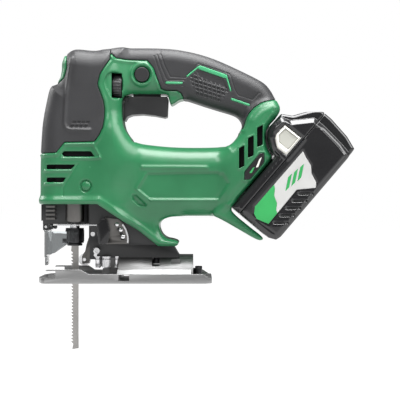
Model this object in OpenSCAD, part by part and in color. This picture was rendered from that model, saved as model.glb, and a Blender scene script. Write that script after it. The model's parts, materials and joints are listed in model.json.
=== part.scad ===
// Cordless D-handle jigsaw: brushless motor, spur gear and yoke drive, pendulum guide roller,
// bevelling sole plate and a slide-on battery pack.
// Origin: on the bevelling axis, at the sole plate's underside on the middle plane, close to its middle.
// +Z up, -X towards the blade, +X towards the battery.

/* [Sole plate] */
// Length of the sole plate along the cut
sole_l = 157; // [150:1:176]
// Width of the sole plate
sole_w = 76; // [70:1:84]
// Thickness of the flat sole
sole_t = 5; // [4:0.5:6]
// Height of the rim at the front half
rim_h = 12.5; // [10:0.5:13]
// Height of the rim at the rear half
rear_rim_h = 8.5; // [7:0.5:9]
// Thickness of the rim walls
rim_t = 4; // [3:0.5:5]
// Width of the central opening for blade and guard
slot_w = 39; // [38:1:44]

/* [Housing] */
// Width of the motor housing
body_w = 66; // [62:1:76]
// Width of the gear head
head_w = 62; // [58:1:64]
// Width of the handle
handle_w = 37; // [34:1:42]
// Wall thickness of the moulded halves
wall = 3; // [2.5:0.25:4]
// Rounding of the outer edges
edge_r = 8; // [4:1:10]

/* [Drive] */
// Height of the motor axis above the sole
motor_z = 91; // [90:0.5:92]
// Radius of the motor stator
stator_r = 25; // [22:0.5:26]
// Length of the stator stack
stator_l = 42; // [34:1:46]
// Gear module
gear_module = 1; // [0.8:0.1:1.2]
// Teeth on the motor pinion
pinion_teeth = 9; // [8:1:11]
// Teeth on the drive gear
gear_teeth = 46; // [44:1:47]
// Stroke of the blade
stroke = 26; // [20:1:26]
// Radius of the plunger rod
rod_r = 4.5; // [4:0.25:5]
// Running clearance of shafts in their bores
run_gap = 0.05; // [0.03:0.01:0.08]

/* [Blade] */
// Width of the blade
blade_w = 7; // [6:0.5:8]
// Thickness of the blade
blade_t = 1.4; // [1:0.1:1.6]
// Distance from one tooth to the next
tooth_pitch = 3; // [2.5:0.1:4]
// How far the blade reaches below the sole
blade_reach = 63; // [50:1:75]

/* [Controls] */
// Radius of the lock button
button_r = 6.6; // [5:0.1:7]
// Radius of the speed dial wheel
dial_r = 10.5; // [9:0.5:11]
// Gap around buttons and levers
ctrl_gap = 0.4; // [0.3:0.05:0.6]

/* [Battery] */
// Width of the battery pack
pack_w = 74; // [68:1:78]
// Length of the pack along its rails
pack_l = 108; // [100:1:116]
// Depth of the pack away from its rails
pack_d = 49; // [44:1:54]
// Tilt of the rails above level
pack_tilt = 49.5; // [49:0.5:50]

/* [Hidden] */
$fn = 48;

green = "#2c8a52";
dark = "#2b2b2d";
steel = "#b9bcbf";

// ---- shared places ----
plunger_x = -45.5;
pinion_r = gear_module * pinion_teeth / 2;
gear_r = gear_module * gear_teeth / 2;
gear_z = motor_z + pinion_r + gear_r;
gear_x = -30;
gear_t = 7;
crank_r = stroke / 2;
rise = stroke * 10 / 13;
drop = stroke - rise;
yoke_z = gear_z + (drop - rise) / 2;
frame_w = head_w / 2 - wall - 0.2;
shaft_r = 2.5;
spindle_r = 4;
bearing_r = 8;
rear_bearing_x = 68;
case_z = 71.8;
head_z = 53;
holder_r = 5.5;
sleeve_r = 8.4;
sleeve_z = 36;
sleeve_h = 13;
seat_r = 25;
seat_gap = 0.4;
slot_swing = 54;
fork_x = -27;
fork_z = 44;
roller_r = 5.6;
roller_x = plunger_x + blade_w / 2 + 0.3 + roller_r;
roller_z = 20;
orbit_x = -16.6;
orbit_z = 39;
case_w = 21;
keel_w = 12.5;
button_x = 17.5;
button_z = 189;
dial_x = -5;
dial_z = 178.5;
post_w = 23;
trigger_x = 3;
trigger_z = 167;
trigger_w = 11;
arm_x = -17;
bulk_top = 123;
pack_origin = [98.3, 67.8];
deck_gap = 0.4;
seam_v = 9;
latch_travel = 3;
skin = 2.4;
open_front = -72.5;
open_back = -22;

// ---- outline helpers ----
function unit(v) = v / norm(v);
function before(p, i) = p[(i + len(p) - 1) % len(p)];
function after(p, i) = p[(i + 1) % len(p)];
// A clockwise outline moved inwards by d, corners mitred
function inset(p, d) = [for (i = [0:len(p) - 1])
    let (a = unit(p[i] - before(p, i)), b = unit(after(p, i) - p[i]),
         m = unit([a[1] + b[1], -a[0] - b[0]]))
    p[i] + m * d / (m * [b[1], -b[0]])];
// A corner replaced by an arc that touches both of its edges
function corner(a, b, c, r, n = 4) =
    let (u = unit(a - b), v = unit(c - b), half = acos(max(-1, min(1, u * v))) / 2,
         reach = min(r / tan(half), norm(a - b) / 2.2, norm(c - b) / 2.2),
         rr = reach * tan(half), mid = b + unit(u + v) * rr / sin(half),
         s = b + u * reach - mid, turn = (180 - 2 * half) * sign(u[0] * v[1] - u[1] * v[0]))
    [for (k = [0:n]) let (t = -turn * k / n)
        mid + [s[0] * cos(t) - s[1] * sin(t), s[0] * sin(t) + s[1] * cos(t)]];
function rounded(p, r, n = 4) =
    [for (i = [0:len(p) - 1]) each corner(before(p, i), p[i], after(p, i), r, n)];
// A point in the battery's own axes: u along the rails, v away from the housing
function uv(u, v) =
    pack_origin + [u * cos(pack_tilt) + v * sin(pack_tilt), u * sin(pack_tilt) - v * cos(pack_tilt)];
function uvs(p) = [for (q = p) uv(q[0], q[1])];
// Gear outline with one tooth on +x
function gear_points(z, m) = let (p = 360 / z, r = m * z / 2) [for (i = [0:z - 1])
    each [for (q = [[-0.27, -1.25], [-0.13, 0.8], [0.13, 0.8], [0.27, -1.25]])
        let (a = p * (i + q[0])) (r + m * q[1]) * [cos(a), sin(a)]]];

// ---- solid helpers ----
// An outline in X and Z given a thickness from y0 to y1
module slab(p, y0, y1) { translate([0, y1, 0]) rotate([90, 0, 0]) linear_extrude(y1 - y0) polygon(p); }
// The left half of a slab whose outer edge steps inwards like a round
module crowned(p, w, r = edge_r, n = 3) {
    slab(p, -(w - r), 0);
    for (k = [1:n]) slab(inset(p, r * (1 - cos(90 * (k - 0.5) / n))), -(w - r) - r * sin(90 * k / n), 0);
}
module box(a, b) { translate(a) cube(b - a); }
// Cylinder along X, Y or Z from a point
module bar_x(x0, x1, y, z, r) { translate([x0, y, z]) rotate([0, 90, 0]) cylinder(h = x1 - x0, r = r); }
module bar_y(x, y0, y1, z, r) { translate([x, y1, z]) rotate([90, 0, 0]) cylinder(h = y1 - y0, r = r); }
module bar_z(x, y, z0, z1, r) { translate([x, y, z0]) cylinder(h = z1 - z0, r = r); }
module mirrored() { children(); mirror([0, 1, 0]) children(); }
module tube_x(x0, x1, y, z, r0, r1) {
    difference() { bar_x(x0, x1, y, z, r1); bar_x(x0 - 1, x1 + 1, y, z, r0); }
}
module tube_z(x, y, z0, z1, r0, r1) {
    difference() { bar_z(x, y, z0, z1, r1); bar_z(x, y, z0 - 1, z1 + 1, r0); }
}
// Coil spring shape kept as a sleeve of rings on a thin core
module spring(r, h, wire, turns) {
    for (i = [0:turns]) translate([0, 0, wire + i * (h - 2 * wire) / turns])
        rotate_extrude() translate([r - wire, 0]) circle(wire, $fn = 16);
    difference() {
        cylinder(h = h, r = r - wire * 0.8);
        translate([0, 0, -1]) cylinder(h = h + 2, r = r - wire * 1.6);
    }
}

// ---- outlines of the moulded halves ----
head_front = [[-75.4, case_z], [-75, 112], [-74, 132], [-73, 147], [-69.5, 165], [-66, 178.5],
    [-60.6, 180.1], [-57.6, 183], [-55.5, 193], [-55.9, 201.3], [-51.2, 207.7], [-46.4, 211.3],
    [-41.2, 212.4], [-26.4, 210.7], [-14, 211.8]];
head_line = concat(head_front, [[-14, 100], [0.3, 57], [-21.4, case_z]]);
post_line = [[-24, 211], [-11, 212.4], [-4, 214.3], [4, 214.4], [4, 171], [0.5, 169.6], [-1, 166],
    [-1, 146], [2.8, 136.6], [10.5, 127.7], [12, 90], [-24, 90]];
handle_line = [[-14, 196], [-11, 212.4], [-4, 214.3], [20.7, 214.5], [34, 214.3], [48.7, 213.2],
    [65.5, 210], [80, 205.5], [93.5, 200], [108, 193.2], [121.5, 186.5], [129.4, 181.5],
    [133.8, 176.4], [137.3, 170.8], [143.5, 155], [130, 140.5], [118, 112], [98, 112], [93.3, 123.7],
    [97.2, 125], [99.8, 127], [103.7, 131.5], [107.6, 136.8], [109.3, 143.3], [108.2, 147.1],
    [105, 151], [99.8, 153.6], [80.4, 159.2], [62.2, 165.3], [55.5, 167.4], [46, 171], [4, 171],
    [-14, 171]];
hook_line = [[40, 173], [57, 173], [57, 167], [55.5, 167.4], [51.2, 166], [47.7, 163.1], [43.5, 161.9]];
barrel_line = [[-62, 106], [-40, 120], [-14, 127], [10.5, 127.7], [15.7, 126.2], [37.6, 123.6],
    [55.3, 122.7], [79, 122.7], [93.3, 123.7], [112, 118], [108, 80], [98.3, 67.8], [90, 60.2],
    [82.2, 60.2], [44.5, 60.2], [12, 60.2], [0.3, 57], [-21.4, case_z], [-62, case_z]];
spur_line = [[-21.4, case_z], [14, 74], [50, 66], [44.5, 60.2], [39.2, 58.6], [34.7, 55.6],
    [33.1, 51.1], [35.1, 44.3], [40.6, 38.7], [44.2, 38.7], [49.7, 35.6], [46.3, 33.6], [32.4, 33.8],
    [16.3, 46.8], [0.3, 57]];
rear_line = concat([[90, 110], [93.3, 123.7], [97.2, 125], [103.7, 131.5], [109.3, 143.3], [112, 151],
    [124, 163], [139.4, 165.8], [144.4, 155.5]],
    uvs([[80.5, -22.5], [74.2, -21.2], [68.7, -17.8], [62.4, -10.3], [60, -3.3], [60, 0], [0, 0]]), [[90, 62]]);
tongue_line = concat(uvs([[10, 0], [0, 0], [-2.2, 4.2], [-1.9, 22.7], [-0.9, 39.9]]),
    [[126.5, 38.4], [121.8, 38.6], [105.3, 48.3], [89.9, 57.1], [80, 62], [90, 68]]);
cover_line = [[-90, 117.3], [-90, 179], [-66, 179], [-60, 181.5], [-52.5, 190], [-53, 203], [-57, 225],
    [-14, 225], [-14, 198], [-17, 194.5], [-21.2, 186], [-21.8, 179], [-16.7, 164], [-15.8, 150],
    [-17.2, 140], [-24, 128], [-51.6, 126.8], [-59.1, 117.5]];
grip_line = [[-8, 200.3], [-8, 230], [160, 230], [160, 166.6], [139.4, 166.6], [132, 165], [125.6, 163],
    [119.2, 158.8], [114.7, 153.7], [111, 147], [100, 140], [60, 150], [55.9, 166], [53.2, 172.2],
    [49, 175.2], [35.2, 175.7], [32.3, 183.3], [28.2, 194.3], [22.4, 201.9]];

module outer_half() {
    crowned(head_line, head_w / 2);
    crowned(post_line, post_w, 5);
    crowned(handle_line, handle_w / 2, min(edge_r, 6));
    crowned(hook_line, handle_w / 2 - 4, 1, 1);
    crowned(barrel_line, body_w / 2);
    crowned(spur_line, case_w + 3, 3, 2);
    crowned(rear_line, pack_w / 2 - 3, 5);
    crowned(tongue_line, pack_w / 2 - 6, 3, 2);
}
// Elastomer skins lie over the moulded half and are cut out of it
module cover_half() {
    difference() {
        intersection() { crowned(head_line, head_w / 2); slab(cover_line, -head_w, 0); }
        slab(inset(head_line, skin), -(head_w / 2 - skin), 1);
    }
}
module grip_half() {
    difference() {
        intersection() {
            crowned(handle_line, handle_w / 2, min(edge_r, 6));
            slab(grip_line, -handle_w, 0);
        }
        slab(inset(handle_line, skin), -(handle_w / 2 - skin), 1);
    }
}
head_room = [[-61, 75.3], [-61, 150], [-52, 176], [-50, 198], [-28, 204], [-27, 166], [arm_x, 163],
    [arm_x, 75.3]];
handle_room = [[6, 171], [6, 202], [30, 206], [48, 205], [78, 197], [104, 186], [120, 176], [122, 168],
    [104, 170], [80, 176], [50, 182], [42.3, 182], [42.3, 171]];
rear_room = concat([[96, 90], [96, 118], [104, 118], [112, 126], [124, 146], [132, 150]],
    uvs([[86, -26], [66, -26], [52, -12], [14, -12]]));
module vents() {
    for (s = [[[-52, 114], [-54.3, 116.4], [-52, 118.8], [-28, 118.8], [-24.5, 114]],
              [[-68, 102.7], [-68, 106.7], [-42, 106.7], [-45.5, 102.7]],
              [[-68, 91], [-68, 95.1], [-50.3, 95.1], [-53, 91]],
              [[105.3, 103.1], [105.3, 121.4], [109.9, 123.8], [109.9, 105.5]],
              [[113.3, 112.6], [113.3, 130.3], [118.4, 132.8], [118.4, 115.1]],
              [[121.6, 122.2], [121.6, 139.8], [126.6, 142.3], [126.6, 124.7]]])
        slab(s, -body_w, -frame_w + 2);
}
screw_places = [[-66, 86], [-36, 196], [-8, 140], [54, 190], [128, 172], [88, 70], [24, 53]];
dial_y = -post_w + dial_r - 1.2;
// The screws enter from the right and end in blind holes on the left
module screw_cuts() {
    for (s = screw_places) {
        bar_y(s[0], -8, 11, s[1], 1.6);
        bar_y(s[0], 10, body_w, s[1], 3.4);
    }
}
module bosses() { for (s = screw_places) bar_y(s[0], -body_w, 2, s[1], 4.6); }
module rooms() {
    difference() {
        union() {
            slab(head_room, -frame_w, 1);
            slab(handle_room, -trigger_w - ctrl_gap, 1);
        }
        bosses();
    }
    box([arm_x - 1, -frame_w, 75.3], [-1, 1, bulk_top + 0.2]);
    box([arm_x - 1, -12, bulk_top - 1], [-1, 1, 131]);
    slab(rear_room, -pack_w / 2 + 6, 1);
    bar_x(-2, rear_bearing_x - 0.5, 0, motor_z, stator_r);
    bar_x(rear_bearing_x - 1, rear_bearing_x + 5, 0, motor_z, bearing_r - 1);
    bar_x(rear_bearing_x + 4.5, 97, 0, motor_z, 14);
    bar_z(plunger_x, 0, 60, 80, rod_r + 1);
    slab([[0, 146], [0, 172], [42.3, 172], [42.3, 146]], -trigger_w - ctrl_gap, 1);
    slab(uvs([[4, -8.6], [4, 1], [63, 1], [63, -8.6]]), -24.6, 1);
}
module housing_half() {
    difference() {
        outer_half();
        cover_half();
        grip_half();
        rooms();
        vents();
        slab(badge_line, -pack_w, -pack_w / 2 + 4.2);
        bar_y(-32.3, -head_w, -head_w / 2 + 2, 87.5, 5.2);
    }
}
badge_line = [[110, 93], [110, 100], [124, 117], [128, 117], [128.2, 109], [115.3, 93.4]];
module housing_left() {
    color(green) {
        difference() {
            housing_half();
            bar_y(button_x, -handle_w, 1, button_z, button_r + ctrl_gap);
            box([dial_x - 4.5, -post_w - 2, dial_z - dial_r - 1], [dial_x + 4.5, -2, dial_z + dial_r + 1]);
            screw_cuts();
        }
        bar_x(dial_x - 4.6, dial_x + 4.6, dial_y, dial_z, 1.5);
    }
}
module housing_right() { color(green) difference() { mirror([0, 1, 0]) housing_half(); screw_cuts(); } }
module head_cover_left() { color(dark) cover_half(); }
module head_cover_right() { color(dark) difference() { mirror([0, 1, 0]) cover_half(); screw_cuts(); } }
module handle_grip_left() {
    color(dark) difference() { grip_half(); bar_y(button_x, -handle_w, 1, button_z, button_r + ctrl_gap); }
}
module handle_grip_right() { color(dark) difference() { mirror([0, 1, 0]) grip_half(); screw_cuts(); } }

// ---- gear head and motor ----
// Aluminium frame: bulkhead for motor bearing and gear spindle, side arms, two plunger beams
module gear_frame() {
    arm = [[-60, 75.3], [-60, 146], [-55, 162], [arm_x, 162], [arm_x, bulk_top], [-9, bulk_top],
        [-9, 75.3]];
    color("#9da0a3") difference() {
        union() {
            box([-9, -frame_w, 75.3], [-2, frame_w, bulk_top]);
            box([-9, -11, bulk_top - 1], [-2, 11, 129]);
            mirrored() slab(arm, -frame_w, -frame_w + 2.6);
            box([-60, -frame_w, 75.3], [-9, frame_w, 82]);
            box([-55, -frame_w, 156], [arm_x, frame_w, 162]);
            bar_x(-9, 4, 0, motor_z, bearing_r + 3);
            bar_x(-13, -9, 0, gear_z, spindle_r + 3);
        }
        bar_x(-10, 5, 0, motor_z, bearing_r);
        bar_x(-14, 0, 0, gear_z, spindle_r);
        bar_z(plunger_x, 0, 70, 170, rod_r + 2.5);
    }
}
module gear_case() {
    color("#232325") difference() {
        union() {
            box([-72.6, -19, head_z], [-26, 19, case_z]);
            slab([[-30.5, case_z], [-21.4, case_z], [0.3, 57], [16.3, 46.8], [31.5, 34.4],
                [-30.5, 34.4]], -case_w, case_w);
            slab([[-30.5, 36], [29, 36], [32.4, 33.2], [46, 33.2], [51.5, 24], [51.5, 22.2],
                [-20.5, 22.2], [-22, 20.6], [-30.5, 20.6]], -keel_w, keel_w);
            mirrored() box([-72.6, 15.2, 47.5], [-67.5, 18, head_z + 1]);
        }
        bar_x(-19.5, 60, 0, 0, seat_r + seat_gap);
        bar_z(plunger_x, 0, 40, 80, sleeve_r + 1);
        box([-59.5, -12.8, head_z - 1], [plunger_x, 12.8, case_z + 1]);
        slab([[-40, 50], [-24, 50], [-21.8, 37], [-24, 32], [-28.6, 28], [-28.6, 15], [-40, 15]],
            -5.6, 5.6);
        box([-34.2, -5.6, 50], [-23, 5.6, 52]);
        bar_y(-70, -20, 20, 50.5, 1.3);
        bar_y(orbit_x, -40, 40, orbit_z, 2.6);
        bar_y(-25.3, -40, 40, 24.6, 1.5);
        bar_y(fork_x, -40, 40, fork_z, 2);
        bar_z(30, 0, 20, 33, 3);
    }
}
// Pins pressed through the gear case: fork pivot, leg rivet, orbit pivot and the housing plugs
module case_plugs() {
    color(steel) {
        bar_y(fork_x, -case_w, case_w, fork_z, 2);
        bar_y(-25.3, -keel_w - 1.4, keel_w + 1.4, 24.6, 1.5);
        bar_y(orbit_x, -case_w - 3, case_w, orbit_z, 2.5);
        bar_y(-70, -18.4, 18.4, 50.5, 1.2);
    }
}
module front_light() {
    color("#1d1d1f") difference() {
        box([-74.6, -15, 56], [-72.6, 15, 71]);
        for (k = [0:4]) box([-75, -13, 57.6 + k * 2.6], [-74.1, -5, 58.8 + k * 2.6]);
        box([-76, 4.8, 58.8], [-73.4, 12.2, 68.2]);
    }
}
module light_lens() { color("#e8eef0") box([-74.4, 4.8, 58.8], [-73.4, 12.2, 68.2]); }
module motor_stator() {
    color("#5d6063") difference() {
        bar_x(8, 8 + stator_l, 0, motor_z, stator_r);
        bar_x(7, 9 + stator_l, 0, motor_z, 12);
        for (k = [0:5]) translate([0, 0, motor_z]) rotate([k * 60 + 30, 0, 0])
            box([7, -4, 10], [9 + stator_l, 4, 18]);
    }
}
module motor_windings() {
    color("#b87333") for (x = [4.2, 8 + stator_l]) tube_x(x, x + 3.8, 0, motor_z, 13, 20);
}
module motor_bearings() {
    color(steel) {
        tube_x(-8, -2, 0, motor_z, shaft_r, bearing_r);
        tube_x(rear_bearing_x - 0.5, rear_bearing_x + 4.5, 0, motor_z, shaft_r, bearing_r - 1);
    }
}
module rotor_shaft() { color(steel) bar_x(gear_x - 1, rear_bearing_x + 5, 0, motor_z, shaft_r - 0.02); }
module rotor_magnets() { color("#3a3c3f") tube_x(8, 8 + stator_l, 0, motor_z, shaft_r - 0.02, 11.4); }
module cooling_fan() {
    x = stator_l + 14;
    color("#3b3b3d") difference() {
        union() {
            bar_x(x + 5, x + 6.5, 0, motor_z, 20);
            bar_x(x, x + 6.5, 0, motor_z, 6);
            for (k = [0:10]) translate([0, 0, motor_z]) rotate([k * 360 / 11, 0, 0])
                translate([x + 0.5, 3, 5]) rotate([14, 0, 0]) cube([5, 1.4, 16]);
            tube_x(x + 3.5, x + 6.5, 0, motor_z, 20, 22);
        }
        bar_x(x - 1, x + 8, 0, motor_z, shaft_r - 0.02);
    }
}
module pinion() {
    color(steel) difference() {
        translate([gear_x, 0, motor_z]) rotate([0, 90, 0])
            linear_extrude(gear_t) polygon(gear_points(pinion_teeth, gear_module));
        bar_x(gear_x - 1, gear_x + gear_t + 1, 0, motor_z, shaft_r - 0.02);
    }
}
module drive_gear() {
    pin_y = sqrt(crank_r * crank_r - pow(yoke_z - gear_z, 2));
    color("#8d9094") difference() {
        union() {
            translate([gear_x, 0, gear_z]) rotate([0, 90, 0])
                linear_extrude(gear_t) polygon(gear_points(gear_teeth, gear_module));
            bar_x(gear_x, -13.4, 0, gear_z, 6.4);
            bar_x(gear_x - 6.2, gear_x, pin_y, yoke_z, 2.5);
        }
        bar_x(gear_x - 1, 0, 0, gear_z, spindle_r + run_gap);
        for (k = [0:5]) translate([0, 0, gear_z]) rotate([k * 60 + 20, 0, 0])
            bar_x(gear_x + 3, gear_x + gear_t + 1, 0, 14, 4.4);
    }
}
module gear_spindle() { color(steel) bar_x(gear_x, -9, 0, gear_z, spindle_r); }
// The roller's tip stops short of the yoke
module crank_roller() {
    pin_y = sqrt(crank_r * crank_r - pow(yoke_z - gear_z, 2));
    color("#6a6d70") tube_x(gear_x - 6.2, gear_x - 0.6, pin_y, yoke_z, 2.5, 4.5);
}
module plunger_bushes() {
    color("#b08d57") {
        tube_z(plunger_x, 0, 75.3, 82, rod_r + run_gap, rod_r + 2.5);
        tube_z(plunger_x, 0, 156, 162, rod_r + run_gap, rod_r + 2.5);
    }
}
module plunger_rod() { color(steel) bar_z(plunger_x, 0, sleeve_z + sleeve_h - 2, 163 + drop, rod_r); }
module yoke() {
    reach = crank_r + 5.5;
    color("#85888c") difference() {
        union() {
            box([plunger_x - 4, -reach - 3, yoke_z - 9], [-37, reach + 3, yoke_z + 9]);
            bar_z(plunger_x, 0, yoke_z - 9, yoke_z + 9, rod_r + 3);
        }
        bar_z(plunger_x, 0, yoke_z - 10, yoke_z + 10, rod_r);
        round_slot(-40.6, -36, reach, yoke_z, 4.6);
    }
}
// A slot with round ends that runs across in Y
module round_slot(x0, x1, half, z, r) {
    bar_x(x0, x1, -half + r, z, r);
    bar_x(x0, x1, half - r, z, r);
    box([x0, -half + r, z - r], [x1, half - r, z + r]);
}
module balance_weight() {
    edge = frame_w - 2.6 - 0.1;
    top = 155.6 - drop;
    color("#77797c") difference() {
        box([-22.7, -edge, 83 + rise], [arm_x - 0.2, edge, top]);
        box([-24, -7.6, 82 + rise], [-13, 7.6, top - 3.4]);
        mirrored() bar_x(-24, -13, 14, 126, 3);
    }
}
module blade_holder() {
    top = sleeve_z + sleeve_h;
    color("#55585b") difference() {
        union() {
            bar_z(plunger_x, 0, sleeve_z - 2, top, holder_r);
            bar_z(plunger_x, 0, sleeve_z - 3.2, sleeve_z - 1, sleeve_r - 1.4);
        }
        box([plunger_x - blade_w / 2, -blade_t / 2, sleeve_z - 4],
            [plunger_x + blade_w / 2, blade_t / 2, top - 4]);
        bar_z(plunger_x, 0, top - 2, top + 1, rod_r);
    }
}
module clamp_sleeve() {
    top = sleeve_z + sleeve_h;
    color("#3d3f42") difference() {
        union() {
            bar_z(plunger_x, 0, sleeve_z - 0.6, top, sleeve_r);
            for (k = [0:11]) translate([plunger_x, 0, 0]) rotate([0, 0, k * 30])
                bar_z(sleeve_r - 0.2, 0, sleeve_z + 1, top - 2, 0.5);
            box([plunger_x - 12, -2.4, sleeve_z], [plunger_x - 6, 2.4, sleeve_z + 4]);
        }
        bar_z(plunger_x, 0, sleeve_z - 2, top + 1, holder_r + run_gap);
        bar_z(plunger_x, 0, sleeve_z + 6, top - 1, holder_r + 1.7);
    }
}
module holder_spring() {
    color(steel) translate([plunger_x, 0, sleeve_z + 6]) spring(holder_r + 1.6, sleeve_h - 7, 0.45, 4);
}
// Toothed wood blade; teeth point towards the front
module blade() {
    front = plunger_x - blade_w / 2;
    back = plunger_x + blade_w / 2;
    top = sleeve_z + sleeve_h - 4.2;
    first = sleeve_z - 8;
    teeth = floor((first + blade_reach - 6) / tooth_pitch);
    line = concat([[back, -blade_reach + 1], [front + 1.2, -blade_reach]],
        [for (k = [teeth:-1:0])
            each [[front + 2.1, first - (k + 0.7) * tooth_pitch], [front, first - k * tooth_pitch]]],
        [[front + 0.4, first + 2], [front + 0.4, top], [back, top]]);
    color("#c9ccce") difference() {
        slab(line, -blade_t / 2, blade_t / 2);
        bar_y(plunger_x, -2, 2, top - 6, 1.2);
    }
}

// ---- handle controls ----
module trigger() {
    color("#39393b") difference() {
        union() {
            slab([[7, 169.6], [40, 169.6], [41.2, 168], [40.4, 151.4], [38, 150.6], [29, 152.4],
                [17.5, 153.6], [8, 153], [3.6, 151.2], [1.6, 147.6], [0.6, 147.8], [0.4, 163],
                [2.4, 167.6]], -trigger_w, trigger_w);
            slab([[9, 169], [9, 176.2], [34, 179], [34, 169]], -trigger_w + 3, trigger_w - 3);
            bar_y(trigger_x, -trigger_w, trigger_w, trigger_z, 2.5);
        }
        bar_y(trigger_x, -20, 20, trigger_z, 1.25);
    }
}
module trigger_spring() {
    color(steel) translate([26, 0, 178.7]) spring(3.2, 14.3, 0.5, 6);
}
module switch_block() {
    color("#4a4a4d") union() {
        box([8, -trigger_w - ctrl_gap, 193], [44, trigger_w + ctrl_gap, 201]);
        bar_z(26, 0, 190, 194, 2.2);
        bar_y(trigger_x, -trigger_w - ctrl_gap, trigger_w + ctrl_gap, trigger_z, 1.2);
    }
}
module lock_button() {
    color("#333335") union() {
        bar_y(button_x, -handle_w / 2 - 2.2, -handle_w / 2 + 4.4, button_z, button_r);
        bar_y(button_x, -handle_w / 2 + 4.4, -trigger_w + 1, button_z, 3);
    }
}
module speed_dial() {
    color("#2f2f31") difference() {
        union() {
            bar_x(dial_x - 3.9, dial_x + 3.9, dial_y, dial_z, dial_r - 0.4);
            for (k = [0:23]) translate([0, dial_y, dial_z]) rotate([k * 15, 0, 0])
                bar_x(dial_x - 3.4, dial_x + 3.4, 0, dial_r - 0.5, 0.5);
        }
        bar_x(dial_x - 5, dial_x + 5, dial_y, dial_z, 1.5 + run_gap);
    }
}
module controller() {
    color("#2d5e3e") union() {
        box([99, -pack_w / 2 + 6, 95], [104, pack_w / 2 - 6, 117]);
        box([97, -16, 97], [99, 16, 115]);
    }
}
module terminal_block() {
    color("#1f1f21") union() {
        slab(uvs([[4, -8], [12, -8], [12, -1], [4, -1]]), -20, 20);
        for (y = [-14, -5, 5, 14]) slab(uvs([[11, -6.5], [32, -6.5], [32, -2.5], [11, -2.5]]),
            y - 0.5, y + 0.5);
    }
}
module housing_screws() {
    color("#3c3d40") for (s = screw_places) {
        bar_y(s[0], -8, 10, s[1], 1.6);
        bar_y(s[0], 10, 12.4, s[1], 3.3);
    }
}
module badge_plates() {
    color("#1b1b1d") mirrored() slab(inset(badge_line, 0.3), -pack_w / 2 + 2.8, -pack_w / 2 + 4.2);
}

// ---- pendulum guide ----
module orbit_plate() {
    r = 22.6;
    color(steel) difference() {
        translate([orbit_x, -case_w - 0.4, orbit_z]) rotate([90, 0, 0]) linear_extrude(1.6) difference() {
            polygon(concat([[-3, -4.2], [-5, 0], [-3.5, 5]], [[1, 20]],
                [for (a = [56:-6:-10]) r * [cos(a), sin(a)]]));
            for (a = [4, 20, 36]) rotate(a) translate([r - 6, 0]) circle(1.5);
        }
        bar_y(orbit_x, -40, 0, orbit_z, 2.5 + run_gap);
    }
}
module orbit_grip() {
    color("#1f1f21") difference() {
        translate([orbit_x, -case_w - 2, orbit_z]) rotate([90, 0, 0]) linear_extrude(6)
            polygon(rounded([[-5, -4], [-6, 12], [-2, 19], [3, 19], [5.6, 8], [4, -4]], 3.4));
        bar_y(orbit_x, -case_w - 4, 0, orbit_z, 2.5 + run_gap);
    }
}
module roller_fork() {
    line = [[-30, 48.5], [-24, 48.5], [-24, 40], [-28, 34], [-31, 24], [roller_x + 4.6, 17],
        [roller_x - 2, 16], [roller_x - 2.4, 23], [-35.4, 28], [-34.2, 34], [-31.6, 42]];
    color("#8f9296") difference() {
        slab(line, -5.2, 5.2);
        slab([[-60, 10], [-60, 31], [-20, 31], [-20, 10]], -3.2, 3.2);
        bar_y(roller_x, -10, 10, roller_z, 1.5);
        bar_y(fork_x, -10, 10, fork_z, 2 + run_gap);
    }
}
module roller_pin() { color(steel) bar_y(roller_x, -5.6, 5.6, roller_z, 1.5); }
module guide_roller() {
    color("#a4a7aa") difference() {
        bar_y(roller_x, -3, 3, roller_z, roller_r);
        bar_y(roller_x, -4, 4, roller_z, 1.5 + run_gap);
        translate([roller_x, 0, roller_z]) rotate([90, 0, 0]) rotate_extrude()
            translate([roller_r + 0.6, 0]) square([1.6, blade_t + 0.4], center = true);
    }
}

// ---- sole plate ----
module base_plate() {
    half = sole_w / 2;
    x0 = -sole_l / 2 + 2.5;
    x1 = x0 + sole_l;
    plan = [[x0 + 4, half - 3], [x0 + 8, half], [x1 - 6, half], [x1, half - 6], [x1, 6 - half],
        [x1 - 6, -half], [x0 + 8, -half], [x0 + 4, 3 - half], [x0, 18 - half], [x0, half - 18]];
    color("#a9acae") difference() {
        union() {
            linear_extrude(sole_t) polygon(plan);
            mirrored() {
                slab([[x0 + 7, 1], [x0 + 7, rim_h - 2], [x0 + 9, rim_h], [-36, rim_h],
                    [-30, rear_rim_h], [x1 - 8, rear_rim_h], [x1 - 1, 4], [x1 - 1, 1]],
                    -half, -half + rim_t);
                rotate([90, 0, 90]) translate([0, 0, -4]) linear_extrude(66)
                    polygon([[half - 1, 1], [half - 1, rear_rim_h - 0.5], [half - 4.5, 12.4],
                        [half - 7.2, 12.4], [half - 7.2, 1]]);
            }
        }
        box([open_front, -slot_w / 2, -1], [open_back, slot_w / 2, sole_t + 1]);
        box([-72, -half - 1, sole_t], [-59, half + 1, 11.3]);
        box([-2.6, -half - 1, 2.4], [7, half + 1, 7.8]);
        for (k = [0:6]) mirrored() box([68 + k * 1.6, half - 22, sole_t - 0.5],
            [68.8 + k * 1.6, half - 8, sole_t + 1]);
    }
}
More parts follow.
